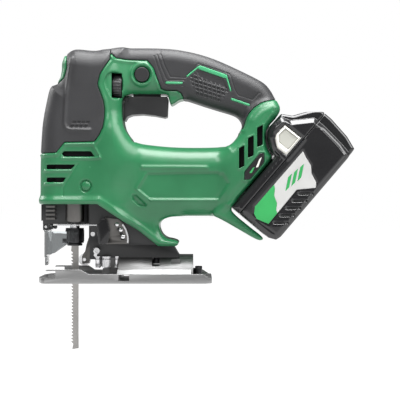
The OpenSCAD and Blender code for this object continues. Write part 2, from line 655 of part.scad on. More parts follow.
// Bevelling bridge on the plate: a shell about the tilt axis with a curved screw slot
module base_bracket() {
    color("#b4b7ba") difference() {
        union() {
            tube_x(-4, 64, 0, 0, seat_r - 4, seat_r);
            box([-19, -9, sole_t], [-13, 9, 22.2]);
            box([-14, -7, sole_t], [-1, 7, 22.2]);
        }
        box([-30, -40, -40], [80, 40, sole_t]);
        box([-2.6, -40, 2.4], [7, 40, 7.8]);
        intersection() {
            tube_x(26.6, 33.4, 0, 0, seat_r - 8, seat_r + 2);
            rotate([90, 0, 90]) linear_extrude(80) polygon([[0, 0], 60 * [sin(slot_swing), cos(slot_swing)],
                [0, 90], 60 * [-sin(slot_swing), cos(slot_swing)]]);
        }
        mirrored() box([44.4, 14, 17], [52.2, 26, 21.6]);
        box([-2, -4.5, 3], [20, 4.5, 12]);
    }
}
module bracket_screws() {
    color("#4b4d50") {
        bar_z(30, 0, 20, 32.5, 3);
        bar_z(30, 0, 16.2, 20, 5.2);
    }
}
module tilt_lock_lever() {
    color("#4b4d50") union() {
        bar_z(68, 0, sole_t, 12, 4);
        box([68, -2, 8], [70, 24, 12]);
        bar_z(69, 24, 7.4, 12.6, 3.4);
    }
}
module chip_guard() {
    color("#dfe7ea") union() {
        box([-72, -13, 22.5], [-70, 13, 46]);
        box([-72, -9.4, 15], [-70, 9.4, 22.5]);
        mirrored() slab([[-72, 25], [-66, 25], [-46, 39], [-40, 46], [-72, 46]], -13, -11.4);
        difference() {
            union() { box([-72, -15, 46], [-68.6, 15, 50.5]); bar_y(-70, -15, 15, 50.5, 2); }
            bar_y(-70, -20, 20, 50.5, 1.2 + run_gap);
        }
    }
}

// ---- battery ----
pack_b = pack_d + 2;
cover_out = uvs([[0.6, deck_gap], [61, deck_gap], [61.2, -2.8], [63.4, -9.4], [69.4, -16.4],
    [74.8, -20], [81, -21.4], [94, -21], [99.5, -12], [105.6, -8], [118.6, 1], [120.2, 4],
    [120.2, seam_v], [0.6, seam_v]]);
cover_side = uvs([[0.6, deck_gap], [61, deck_gap], [61.2, -2.8], [63.4, -9.4], [69.4, -16.4],
    [74.8, -20], [81, -21.4], [90, -19], [94, -10], [109.5, 4.6], [110, seam_v], [0.6, seam_v]]);
case_out = uvs([[0.6, seam_v], [120.2, seam_v], [120.2, 17], [117.3, 38], [113, pack_b - 0.5],
    [108, pack_b], [9, pack_b], [4.2, pack_b - 1.5], [1.1, 43]]);
case_side = uvs([[0.6, seam_v], [110, seam_v], [110, 17], [108, 38], [106, pack_b - 1], [102, pack_b],
    [9, pack_b], [4.2, pack_b - 1.5], [1.1, 43]]);
latch_line = [[88, -12], [88.6, 7.2], [67.4, 7.2], [67, -4], [72, -10.3], [76, -12.6]];
module both_sides(full, side, w) {
    slab(full, -w + 8, w - 8);
    slab(inset(side, 0), -w + 2, w - 2);
    slab(inset(side, 1.2), -w, w);
}
module battery_case() {
    color("#222224") difference() {
        both_sides(case_out, case_side, pack_w / 2);
        slab(uvs([[5, seam_v - 1], [104.5, seam_v - 1], [104.5, pack_b - 3], [5, pack_b - 3]]),
            -pack_w / 2 + 2.6, pack_w / 2 - 2.6);
        mirrored() slab(label_line, -pack_w, -pack_w / 2 + 0.6);
        for (k = [0:4]) mirrored() slab(uvs([[14.3 + 8.6 * k, 37.8], [15.7 + 8.6 * k, 37.4],
            [23.3 + 8.6 * k, 46.6], [21.9 + 8.6 * k, 47]]), -pack_w, -pack_w / 2 + 1);
    }
}
module battery_cover() {
    color("#1c1c1e") difference() {
        union() {
            both_sides(cover_out, cover_side, pack_w / 2);
            slab(uvs([[22, -8], [58, -8], [58, 1], [22, 1]]), -20, 20);
            slab(uvs([[22, -3], [58, -3], [58, 1], [22, 1]]), -24, 24);
        }
        slab(uvs([[5, 3], [60, 3], [66, -12], [80, -17.5], [90, -17], [96, -8], [104.5, 4],
            [104.5, seam_v + 1], [5, seam_v + 1]]), -pack_w / 2 + 8, pack_w / 2 - 8);
        mirrored() slab(uvs(latch_line), -pack_w, -pack_w / 2 + 9);
        for (y = [-14, -5, 5, 14]) slab(uvs([[21, -7.4], [36, -7.4], [36, -1.6], [21, -1.6]]),
            y - 0.9, y + 0.9);
    }
}
module battery_cells() {
    color("#3f6fa8") for (i = [0:4], j = [0:1]) {
        c = uv(14.6 + 19 * i, pack_b - 12.2 - 18.5 * j);
        bar_y(c[0], -32.5, 32.5, c[1], 9.2);
    }
}
module battery_board() {
    color("#2d5e3e") slab(uvs([[14, 4.2], [60, 4.2], [60, 5.8], [14, 5.8]]),
        -pack_w / 2 + 8, pack_w / 2 - 8);
}
spring_place = uv(78, -3);
// The button's back has a pocket that its spring stands in
module latch_left_shape() {
    difference() {
        slab(inset(uvs(latch_line), ctrl_gap), -pack_w / 2 - 0.6, -pack_w / 2 + 5.4);
        bar_y(spring_place[0], -pack_w / 2 + 5 - latch_travel, 0, spring_place[1], 3.4);
    }
}
module battery_latch_left() { color("#d9d9d2") latch_left_shape(); }
module battery_latch_right() { color("#d9d9d2") mirror([0, 1, 0]) latch_left_shape(); }
module latch_springs() {
    color(steel) mirrored() translate([spring_place[0], -pack_w / 2 + 9, spring_place[1]])
        rotate([90, 0, 0]) spring(3, 3.9, 0.4, 3);
}
label_line = uvs([[10, 20.3], [16.2, 14], [81, 14.6], [52, 33.3], [25.4, 33], [11.1, 34]]);
module battery_label() {
    color("#3aa757") mirrored() slab(inset(label_line, 0.15), -pack_w / 2 + 0.1, -pack_w / 2 + 0.6);
}

housing_left();
housing_right();
head_cover_left();
head_cover_right();
handle_grip_left();
handle_grip_right();
gear_frame();
gear_case();
case_plugs();
front_light();
light_lens();
motor_stator();
motor_windings();
motor_bearings();
plunger_bushes();
controller();
terminal_block();
switch_block();
trigger_spring();
housing_screws();
badge_plates();
rotor_shaft();
rotor_magnets();
cooling_fan();
pinion();
drive_gear();
gear_spindle();
crank_roller();
plunger_rod();
yoke();
blade_holder();
holder_spring();
blade();
balance_weight();
clamp_sleeve();
trigger();
lock_button();
speed_dial();
orbit_plate();
orbit_grip();
roller_fork();
roller_pin();
guide_roller();
base_plate();
base_bracket();
bracket_screws();
tilt_lock_lever();
chip_guard();
battery_case();
battery_cover();
battery_cells();
battery_board();
battery_latch_left();
battery_latch_right();
latch_springs();
battery_label();
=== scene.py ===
"""Looks of a cordless D-handle jigsaw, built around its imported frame."""
import json
import math

import bmesh
import bpy
import numpy as np
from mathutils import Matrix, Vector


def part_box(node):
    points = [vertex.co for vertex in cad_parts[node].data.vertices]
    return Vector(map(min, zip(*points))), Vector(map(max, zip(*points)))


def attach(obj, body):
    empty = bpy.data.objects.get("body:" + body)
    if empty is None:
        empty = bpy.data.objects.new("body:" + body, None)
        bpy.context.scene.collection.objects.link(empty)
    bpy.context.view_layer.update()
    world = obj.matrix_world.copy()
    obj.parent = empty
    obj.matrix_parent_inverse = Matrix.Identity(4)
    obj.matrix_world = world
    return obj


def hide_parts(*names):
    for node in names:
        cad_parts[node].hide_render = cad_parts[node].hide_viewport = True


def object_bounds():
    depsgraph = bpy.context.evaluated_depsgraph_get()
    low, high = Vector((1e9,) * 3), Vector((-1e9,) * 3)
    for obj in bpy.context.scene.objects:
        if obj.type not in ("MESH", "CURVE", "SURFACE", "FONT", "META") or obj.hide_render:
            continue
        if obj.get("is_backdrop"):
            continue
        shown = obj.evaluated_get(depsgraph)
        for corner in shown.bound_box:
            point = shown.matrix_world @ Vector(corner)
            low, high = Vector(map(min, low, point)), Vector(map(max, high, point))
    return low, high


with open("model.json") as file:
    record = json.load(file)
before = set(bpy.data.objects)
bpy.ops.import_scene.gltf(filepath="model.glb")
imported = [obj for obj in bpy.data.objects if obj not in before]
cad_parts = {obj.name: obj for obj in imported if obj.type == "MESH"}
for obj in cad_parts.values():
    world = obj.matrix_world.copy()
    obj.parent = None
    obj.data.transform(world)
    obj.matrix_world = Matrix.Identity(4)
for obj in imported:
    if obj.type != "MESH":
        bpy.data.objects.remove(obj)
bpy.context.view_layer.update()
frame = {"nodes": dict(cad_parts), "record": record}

import openvdb
from mathutils import Matrix, Vector

MM = 0.001


# ---------------------------------------------------------------- materials

class Value:
    """A shader value. Used in an expression, it adds Math nodes."""

    def __init__(self, finish, socket):
        self.finish = finish
        self.socket = socket

    def math(self, operation, a, b):
        return self.finish.node("ShaderNodeMath", {"operation": operation}, {0: a, 1: b})

    def __add__(self, other):
        return self.math("ADD", self, other)

    def __radd__(self, other):
        return self.math("ADD", other, self)

    def __mul__(self, other):
        return self.math("MULTIPLY", self, other)


class Finish:
    """A material with one Principled shader, made of a few nodes."""

    def __init__(self, name, colour, roughness, **steady):
        self.material = bpy.data.materials.new(name)
        self.material.use_nodes = True
        self.tree = self.material.node_tree
        self.shader = self.tree.nodes["Principled BSDF"]
        self.set("Base Color", (*colour, 1.0))
        self.set("Roughness", roughness)
        for socket, value in steady.items():
            self.set(socket.replace("_", " "), value)

    def put(self, socket, value):
        if isinstance(value, Value):
            self.tree.links.new(value.socket, socket)
        else:
            socket.default_value = value

    def set(self, socket, value):
        self.put(self.shader.inputs[socket], value)

    def node(self, kind, settings=None, values=None, out=0):
        """Adds a node. An input or output is given by number or by name."""
        made = self.tree.nodes.new(kind)
        for key, value in (settings or {}).items():
            if key == "stops":
                ramp = made.color_ramp
                for stop, (place, grey) in zip(ramp.elements, value):
                    stop.position = place
                    stop.color = (grey, grey, grey, 1.0)
            else:
                setattr(made, key, value)
        for key, value in (values or {}).items():
            if isinstance(key, int):
                socket = made.inputs[key]
            else:
                socket = next(s for s in made.inputs if key in (s.identifier, s.name))
            self.put(socket, value)
        if isinstance(out, int):
            return Value(self, made.outputs[out])
        return Value(self, next(s for s in made.outputs if out in (s.identifier, s.name)))

    def place(self, stretch=(1.0, 1.0, 1.0), turn=(0.0, 0.0, 0.0)):
        where = self.node("ShaderNodeTexCoord", out="Object")
        return self.node("ShaderNodeMapping", None, {"Vector": where, "Scale": stretch, "Rotation": turn})

    def noise(self, where, scale, detail=4.0, rough=0.5):
        return self.node("ShaderNodeTexNoise", None,
                         {"Vector": where, "Scale": scale, "Detail": detail, "Roughness": rough})

    def mix(self, factor, a, b):
        a = a if isinstance(a, Value) else (*a, 1.0)
        b = b if isinstance(b, Value) else (*b, 1.0)
        return self.node("ShaderNodeMix", {"data_type": "RGBA"},
                         {"Factor_Float": factor, "A_Color": a, "B_Color": b}, out="Result_Color")

    def ramp(self, value, low, high):
        return self.node("ShaderNodeValToRGB", {"stops": [(low, 0.0), (high, 1.0)]}, {"Fac": value})

    def edges(self):
        """1 on sharp outer edges, 0 on flat faces."""
        return self.ramp(self.node("ShaderNodeNewGeometry", out="Pointiness"), 0.52, 0.60)

    def bump(self, height, depth, strength=0.6):
        self.set("Normal", self.node("ShaderNodeBump", None,
                                     {"Height": height, "Distance": depth, "Strength": strength}))


def moulded(name, colour, roughness, grain=900.0, depth=0.00012, worn=0.25, **steady):
    """Moulded plastic or elastomer: fine spark texture, faint blotches, edges rubbed a little lighter."""
    f = Finish(name, colour, roughness, **steady)
    where = f.place()
    spark = f.noise(where, grain, 5.0, 0.6)
    cloud = f.noise(where, 26.0, 3.0)
    deep = tuple(c * 0.86 for c in colour)
    light = tuple(min(1.0, c * 1.10 + 0.004) for c in colour)
    rubbed = tuple(min(1.0, c * 1.35 + 0.03) for c in colour)
    base = f.mix(f.ramp(cloud, 0.3, 0.7), deep, light)
    f.set("Base Color", f.mix(f.edges() * worn, base, rubbed))
    f.set("Roughness", roughness - 0.05 + cloud * 0.06 + spark * 0.05)
    f.bump(spark, depth)
    return f.material


def metal(name, colour, roughness, stretch, scale=260.0, grime=0.35):
    """Machined or brushed metal: fine lines along one axis, dull patches, bright worn edges."""
    f = Finish(name, colour, roughness, Metallic=1.0)
    lines = f.noise(f.place(stretch), scale, 4.0, 0.65)
    patch = f.noise(f.place(), 40.0, 5.0, 0.6)
    dull = tuple(c * 0.62 for c in colour)
    shine = tuple(min(1.0, c * 1.25 + 0.04) for c in colour)
    base = f.mix(f.ramp(patch, 0.35, 0.75) * grime, colour, dull)
    f.set("Base Color", f.mix(f.edges() * 0.6, base, shine))
    f.set("Roughness", roughness - 0.08 + lines * 0.16 + patch * 0.08)
    f.bump(lines, 0.00004, 0.5)
    return f.material


def cast(name, colour, roughness, depth=0.0003):
    """Cast metal with a sandy skin."""
    f = Finish(name, colour, roughness, Metallic=0.85)
    sand = f.noise(f.place(), 420.0, 6.0, 0.7)
    patch = f.noise(f.place(), 55.0, 4.0)
    f.set("Base Color", f.mix(f.ramp(patch, 0.3, 0.8), colour, tuple(c * 0.7 for c in colour)))
    f.set("Roughness", roughness + patch * 0.12)
    f.bump(sand, depth)
    return f.material


def clear(name, tint, roughness):
    """Clear moulded polycarbonate with faint scuffs."""
    f = Finish(name, tint, roughness, Transmission_Weight=1.0, IOR=1.3)
    scuff = f.noise(f.place((1.0, 1.0, 6.0)), 240.0, 5.0, 0.7)
    f.set("Roughness", f.ramp(scuff, 0.55, 0.85) * 0.25 + roughness)
    f.bump(scuff, 0.00003, 0.3)
    return f.material


def wound(name, colour):
    """Enamelled wire wound side by side."""
    f = Finish(name, colour, 0.3, Metallic=0.9)
    turns = f.node("ShaderNodeTexWave", {"bands_direction": "DIAGONAL"},
                   {"Vector": f.place(), "Scale": 420.0, "Distortion": 1.2})
    f.set("Base Color", f.mix(turns, tuple(c * 0.55 for c in colour), colour))
    f.bump(turns, 0.0003)
    return f.material


def stacked(name, colour):
    """Thin sheets stacked along the motor."""
    f = Finish(name, colour, 0.42, Metallic=0.9)
    sheets = f.node("ShaderNodeTexWave", {"bands_direction": "X"}, {"Vector": f.place(), "Scale": 620.0})
    f.set("Base Color", f.mix(sheets, tuple(c * 0.6 for c in colour), colour))
    f.bump(sheets, 0.0001)
    return f.material


def board(name):
    """Coated circuit board with pale tracks."""
    f = Finish(name, (0.02, 0.16, 0.07), 0.35)
    tracks = f.node("ShaderNodeTexBrick", {"offset": 0.5},
                    {"Vector": f.place(turn=(math.pi / 2, 0.0, 0.0)), "Scale": 260.0, "Mortar Size": 0.03})
    f.set("Base Color", f.mix(f.ramp(tracks, 0.35, 0.5), (0.10, 0.34, 0.16), (0.02, 0.16, 0.07)))
    f.bump(tracks, 0.0001)
    return f.material


FINISHES = {
    "green": moulded("green_shell", (0.015, 0.150, 0.056), 0.34, 700.0, 0.00009, 0.5, Coat_Weight=0.15),
    "mint": moulded("mint_inlay", (0.05, 0.34, 0.15), 0.34, 700.0, 0.00008),
    "elastomer": moulded("dark_elastomer", (0.020, 0.020, 0.022), 0.50, 1100.0, 0.00016, 0.35),
    "black": moulded("black_plastic", (0.010, 0.010, 0.011), 0.40, 800.0, 0.00012, 0.5),
    "gloss": moulded("gloss_black", (0.006, 0.006, 0.007), 0.18, 600.0, 0.00003, 0.4, Coat_Weight=0.4),
    "latch": moulded("latch_white", (0.70, 0.69, 0.64), 0.38, 700.0, 0.00008),
    "latch_face": moulded("latch_face", (0.40, 0.40, 0.36), 0.45, 700.0, 0.00010),
    "print_green": moulded("label_green", (0.028, 0.33, 0.085), 0.30, 500.0, 0.00003),
    "print_white": moulded("label_white", (0.50, 0.50, 0.49), 0.30, 500.0, 0.00003),
    "cell": moulded("cell_sleeve", (0.05, 0.16, 0.40), 0.25, 300.0, 0.00004),
    "sole": metal("sole_steel", (0.30, 0.30, 0.30), 0.36, (1.0, 14.0, 14.0)),
    "bridge": metal("bridge_steel", (0.20, 0.20, 0.20), 0.42, (1.0, 12.0, 12.0)),
    "steel": metal("bright_steel", (0.68, 0.68, 0.69), 0.20, (10.0, 10.0, 1.0), grime=0.15),
    "blade": metal("blade_steel", (0.34, 0.33, 0.32), 0.36, (12.0, 12.0, 1.0), 300.0, grime=0.5),
    "oxide": metal("dark_steel", (0.055, 0.055, 0.058), 0.38, (3.0, 3.0, 3.0), grime=0.5),
    "spring": metal("spring_steel", (0.45, 0.45, 0.46), 0.30, (4.0, 4.0, 4.0)),
    "bronze": metal("sintered_bronze", (0.44, 0.30, 0.14), 0.45, (2.0, 2.0, 2.0)),
    "alloy": cast("cast_alloy", (0.40, 0.41, 0.42), 0.42),
    # Near-black cast finish: the gear frame's dark colour, and painted shade on the sheet beside the collar
    # and the sheets behind the vents.
    "shade": cast("dark_casting_and_painted_shade", (0.012, 0.012, 0.013), 0.6),
    "plate": metal("burnished_plate", (0.13, 0.125, 0.12), 0.30, (1.0, 8.0, 8.0)),
    "magnet": cast("plated_magnet", (0.20, 0.20, 0.21), 0.30, 0.0001),
    "guard": clear("clear_guard", (0.93, 0.96, 0.97), 0.03),
    "lens": clear("lens", (0.95, 0.97, 1.0), 0.05),
    "copper": wound("enamelled_copper", (0.62, 0.28, 0.11)),
    "lamination": stacked("stator_sheets", (0.32, 0.33, 0.34)),
    "board": board("circuit_board"),
}

NODE_FINISH = {
    "green": "housing_left housing_right",
    "elastomer": "head_cover_left head_cover_right handle_grip_left handle_grip_right",
    "black": "gear_case front_light terminal_block switch_block cooling_fan trigger lock_button speed_dial "
             "battery_cover",
    "gloss": "badge_plates orbit_grip battery_case",
    "latch": "battery_latch_left battery_latch_right",
    "print_green": "battery_label",
    "cell": "battery_cells",
    "sole": "base_plate",
    "bridge": "base_bracket",
    "plate": "orbit_plate roller_fork",
    "steel": "case_plugs motor_bearings rotor_shaft pinion gear_spindle plunger_rod roller_pin guide_roller",
    "blade": "blade",
    "oxide": "housing_screws bracket_screws crank_roller blade_holder clamp_sleeve tilt_lock_lever",
    "spring": "trigger_spring holder_spring latch_springs",
    "bronze": "plunger_bushes",
    "alloy": "drive_gear yoke balance_weight",
    # The gear frame is near black partly as a dark casting and partly as painted shade in the head slots.
    "shade": "gear_frame",
    "magnet": "rotor_magnets",
    "guard": "chip_guard",
    "lens": "light_lens",
    "copper": "motor_windings",
    "lamination": "motor_stator",
    "board": "controller battery_board",
}


def dress(thing, finish):
    thing.data.materials.clear()
    thing.data.materials.append(FINISHES[finish])


for finish, names in NODE_FINISH.items():
    for node_name in names.split():
        dress(frame["nodes"][node_name], finish)

BODY_OF = {n: b for b, ns in frame["record"]["behaviour"]["bodies"].items() for n in ns}


# ---------------------------------------------------------------- shape fields, in millimetres

class Block:
    """A box of sample points. A field over it is a distance, negative inside the material."""

    def __init__(self, low, high, step):
        self.low = low
        self.step = step
        x, y, z = (np.arange(a, b + step, step, dtype=np.float32) for a, b in zip(low, high))
        self.x = x[:, None, None]
        self.y = y[None, :, None]
        self.z = z[None, None, :]
        self.depth = np.abs(self.y)

    def near(self, edges):
        """The side view grid and its distance from the nearest of some straight edges."""
        x, z = np.broadcast_arrays(self.x[:, 0, :], self.z[0])
        best = np.full(x.shape, 1e9, np.float32)
        for (ax, az), (bx, bz) in edges:
            ex, ez = bx - ax, bz - az
            t = np.clip(((x - ax) * ex + (z - az) * ez) / max(ex * ex + ez * ez, 1e-9), 0, 1)
            best = np.minimum(best, (x - ax - t * ex) ** 2 + (z - az - t * ez) ** 2)
        return x, z, np.sqrt(best)

    def inside(self, points):
        """Distance in side view from a closed outline."""
        edges = list(zip(points, points[1:] + points[:1]))
        x, z, gap = self.near(edges)
        within = np.zeros(x.shape, bool)
        for (ax, az), (bx, bz) in edges:
            if az != bz:
                within ^= ((az > z) != (bz > z)) & (x < (bx - ax) * (z - az) / (bz - az) + ax)
        return np.where(within, -gap, gap)[:, None, :]

    def line(self, *points):
        """Distance in side view from an open line."""
        return self.near(zip(points, points[1:]))[2][:, None, :]

    def spot(self, cx, cz):
        """Distance in side view from a point."""
        return np.hypot(self.x - cx, self.z - cz)

    def slab(self, points, half, r):
        """An outline made into a slab with round edges, centred on the middle plane."""
        a = self.inside(points) + r
        b = self.depth - (half - r)
        return np.hypot(np.maximum(a, 0), np.maximum(b, 0)) + np.minimum(np.maximum(a, b), 0) - r

    def mesh(self, field, name, mirror=False):
        """The surface of a field as a smooth Blender object in metres."""
        band = 3 * self.step
        grid = openvdb.FloatGrid(band)
        grid.copyFromArray(np.ascontiguousarray(np.clip(field, -band, band), dtype=np.float32))
        points, triangles, quads = grid.convertToPolygons(isovalue=0.0, adaptivity=0.0)
        points = (points * self.step + np.array(self.low)) * MM
        faces = [list(f) for f in triangles.tolist() + quads.tolist()]
        if mirror:
            points[:, 1] *= -1
            faces = [f[::-1] for f in faces]
        data = bpy.data.meshes.new(name)
        data.from_pydata(points.tolist(), [], faces)
        data.polygons.foreach_set("use_smooth", [True] * len(data.polygons))
        data.update()
        thing = bpy.data.objects.new(name, data)
        bpy.context.scene.collection.objects.link(thing)
        return thing


def join(a, b, k=0.0):
    """Both fields as one, with the inside corner filled to a blend of about k."""
    if not k:
        return np.minimum(a, b)
    h = np.maximum(k - np.abs(a - b), 0) / k
    return np.minimum(a, b) - h * h * k * 0.25


def keep(a, b, k=0.0):
    """What lies in both fields, with the edge rounded by about k."""
    return -join(-a, -b, k)


def cut(a, b, k=0.0):
    """The first field with the second one taken away."""
    return keep(a, -b, k)


def eased(points):
    """A closed outline with its corners cut back again and again until it is a smooth curve."""
    for _ in range(2):
        points = [(p[0] + (q[0] - p[0]) * t, p[1] + (q[1] - p[1]) * t)
                  for p, q in zip(points, points[1:] + points[:1]) for t in (0.25, 0.75)]
    return points


def ridge(gap, width):
    """A soft rounded bead, 1 high on its line."""
    return np.exp(-(gap / width) ** 2)


def step_down(gap, width=0.6):
    """1 well inside an outline and 0 outside, with a soft wall."""
    return 1 / (1 + np.exp(np.clip(gap / (width * 0.35), -30, 30)))


def addition(thing, like, finish):
    """The piece is a detail on a CAD node's body."""
    dress(thing, finish)
    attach(thing, BODY_OF[like])
    return thing


def settle(thing, like, finish):
    """The piece stands for a CAD node: same body, and the node is hidden."""
    addition(thing, like, finish)
    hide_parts(like)
    return thing


# ---------------------------------------------------------------- moulded housing

HEAD = -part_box("head_cover_left")[0].y / MM
GRIP = -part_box("handle_grip_left")[0].y / MM
PACK = -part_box("battery_case")[0].y / MM
REAR = -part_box("housing_left")[0].y / MM
CASE_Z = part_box("head_cover_left")[0].z / MM - 45.5
BARREL = HEAD + 0.6
NOSE = -75.95
CROWN = 214.45
WALL = 3.4
SKIN = 2.1
PARTING = 0.05
SKIN_PARTING = 0.06
POST_R = 5.2
SINK_R = 3.45
CORE_R = 1.65
BUTTON_R = 7.0
VENT_FLOOR = 24
TRIGGER_HALF = 11.4
SLIDER_HALF = 24.6
ROD_ROOM = 5.5
RAIL = (98.3, 67.8)
TILT = math.radians(49.5)


def uv(u, v):
    """A point in the battery's own axes: u along its rails, v away from the housing."""
    return (RAIL[0] + u * math.cos(TILT) + v * math.sin(TILT),
            RAIL[1] + u * math.sin(TILT) - v * math.cos(TILT))


def uvs(*points):
    return [uv(*p) for p in points]


# Outlines in side view: X and Z, in millimetres.
HEAD_LINE = [
    (-75.4, 40), (-75.4, 90), (-75.2, 112), (-74.2, 132), (-73, 147), (-69.5, 165), (-66.4, 178.2),
    (-61, 180.2), (-57.8, 183), (-55.8, 193), (-55.9, 201.3), (-51.2, 207.7), (-46.4, 211.4),
    (-41.2, 212.6), (-26.4, 210.8), (-14, 211.8), (-8, 211), (-3, 200), (-1, 182), (-1, 150), (2, 137),
    (9, 120), (7, 40),
]
CREST_LINE = [
    (-34, 40), (-27, 96), (-22, 128), (-10, 150), (2, 136), (12, 118), (9, 96), (1, 78), (12, 60),
    (4, 40),
]
POST_LINE = [
    (-24, 211), (-11, 212.6), (-4, 214.3), (4, 214.4), (6, 190), (4, 171), (0.5, 169.4), (-1, 164),
    (-1, 147), (2.6, 137), (10.5, 127.7), (14, 90), (-24, 90),
]
HANDLE_LINE = [
    (-18, 196), (-11, 212.6), (-4, 214.3), (20.7, 214.4), (34, 214.2), (48.7, 213.2), (65.5, 210.0),
    (80, 205.7), (93.5, 200.2), (108, 193.4), (121.5, 186.8), (129.8, 182), (134.4, 176.6),
    (138, 170.8), (144.5, 155), (130, 138), (118, 112), (98, 112), (93, 123.5), (97.4, 124.6),
    (103.9, 131.2), (108, 136.8), (109.9, 143.3), (108.4, 147.3), (105, 151), (99.8, 153.6),
    (80.4, 159.2), (62.2, 165.3), (55.5, 167.4), (46, 170.6), (4, 170.6), (-18, 171),
]
HOOK_LINE = [(40, 174), (57, 174), (57.4, 167), (55.5, 167), (51.2, 166), (47.2, 163), (42.9, 161)]
BARREL_LINE = [
    (-20, 100), (-10, 127.4), (10.5, 127.9), (15.7, 126.3), (37.6, 123.7), (55.3, 122.8), (79, 122.8),
    (96, 123.8), (114, 118), (108, 78), (98.3, 67.4), (90, 60), (82, 60), (44, 60), (10, 60), (-6, 62),
]
SPUR_LINE = [
    (-24, 84), (14, 82), (50, 74), (52, 60), (44.5, 59.8), (39.2, 58.4), (34.7, 55.6), (33.2, 51.1),
    (35.3, 44.6), (40.6, 39.6), (46, 38.6), (50.2, 35.6), (47, 32), (32, 30), (10, 38), (-24, 60),
]
REAR_LINE = [(88, 108), (93, 123.6), (97.4, 124.6), (103.9, 131.2), (110, 143.3), (112, 151),
             (124, 163), (139.4, 166.2), (144.8, 155.3)]
REAR_LINE += uvs((80.5, -22.6), (74.2, -21.2), (68.7, -17.8), (62.4, -10.3), (60, -3.3), (59.8, 0), (0, 0))
REAR_LINE += [(88, 62)]
TONGUE_LINE = uvs((10, 0), (0, 0), (-2.2, 4.2), (-1.9, 22.7), (-0.9, 39.9)) + [
    (126.8, 38.2), (121.8, 38.3), (105.3, 48), (89.9, 56.9), (80, 61.4), (86, 70)]
UNDER_LINE = [
    (-90, CASE_Z), (-21.4, CASE_Z), (0.3, 57), (16.3, 46.8), (32.4, 33.8), (46.3, 33.6), (60, 33),
    (60, 10), (-90, 10),
]
PACK_LINE = uvs(
    (0.6, 0), (61, 0), (61.2, -2.8), (63.4, -9.4), (69.4, -16.4), (74.8, -20), (81, -21.4), (94, -21),
    (99.5, -12), (105.6, -8), (118.6, 1), (120.2, 4), (120.2, 17), (117.3, 38), (113, 50.5), (108, 51),
    (9, 51), (4.2, 49.5), (1.1, 43),
)
COVER_LINE = [
    (-90, 117.2), (-90, 179), (-67, 179), (-59, 180.4), (-52.6, 185), (-50, 194), (-50.4, 203),
    (-54, 225), (-10, 225), (-11, 202), (-15, 196), (-20, 188), (-22, 179), (-19.4, 171.6),
    (-16.7, 164.1), (-15.6, 157), (-15.8, 149.2), (-17.2, 140), (-20.6, 133), (-24.6, 127.6),
    (-51.6, 126.9), (-59.1, 117.6),
]
GRIP_LINE = [
    (-11, 225), (-11, 208), (-6, 203.6), (2, 202.6), (22.4, 202), (28.2, 194.3), (32.3, 183.3),
    (35.2, 176.2), (39.2, 174.9), (49.7, 174.6), (53.2, 172.2), (55.5, 167), (60, 150), (100, 140),
    (109, 138.9), (110.6, 143.5), (112.1, 148.6), (114.7, 153.7), (119.2, 158.8), (125.6, 163),
    (132, 165), (139.4, 166.6), (160, 167), (160, 225),
]
BADGE_LINE = [(110, 93), (110, 100), (124, 117), (128, 117), (128.2, 109), (115.3, 93.4)]
VENT_LINES = [[(-52, 114), (-54.3, 116.4), (-52, 118.8), (-28, 118.8), (-24.5, 114)],
              [(-68, 102.7), (-68, 106.7), (-42, 106.7), (-45.5, 102.7)],
              [(-68, 91), (-68, 95.1), (-50.3, 95.1), (-53, 91)],
              [(105.3, 103.1), (105.3, 121.4), (109.9, 123.8), (109.9, 105.5)],
              [(113.3, 112.6), (113.3, 130.3), (118.4, 132.8), (118.4, 115.1)],
              [(121.6, 122.2), (121.6, 139.8), (126.6, 142.3), (126.6, 124.7)]]
PANEL_LINE = [(14.9, 84.8), (22.4, 97.4), (91, 98.6), (96, 90), (87, 75.9), (24.6, 75.9)]
DIAL_LINE = [
    (-16, 180), (-14.5, 187), (-10, 190.6), (-3, 190.6), (0, 186), (0.6, 178), (-2, 168), (-6, 165.6),
    (-10, 168),
]
SCREWS = [(-66, 86), (-36, 196), (-8, 140), (54, 190), (128, 172), (88, 70), (24, 53)]
BUTTON = (17.5, 189)
PLUNGER_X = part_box("plunger_rod")[0].x / MM + 4.5
ORBIT = (-16.6, 39.0)


def outside(b):
    """The whole moulded body without its surface details."""
    parts = [(HEAD_LINE, HEAD, 17, 0), (CREST_LINE, HEAD + 2.6, 15, 14), (BARREL_LINE, BARREL, 19, 9),
             (SPUR_LINE, HEAD - 6, 6, 9), (POST_LINE, HEAD - 8, 10, 6), (HANDLE_LINE, GRIP, 12.5, 6),
             (HOOK_LINE, GRIP - 4, 3, 4), (REAR_LINE, REAR, 11, 7), (TONGUE_LINE, REAR - 3, 4, 4)]
    field = None
    shadow = None
    for line, half, r, k in parts:
        smooth = eased(line)
        flat = b.inside(smooth)
        solid = b.slab(smooth, half, r)
        field = solid if field is None else join(field, solid, k)
        shadow = flat if shadow is None else np.minimum(shadow, flat)
    field = keep(field, shadow, 1.0)
    field = cut(field, b.inside(PACK_LINE) - 0.5)
    return cut(field, b.inside(UNDER_LINE), 0.8)


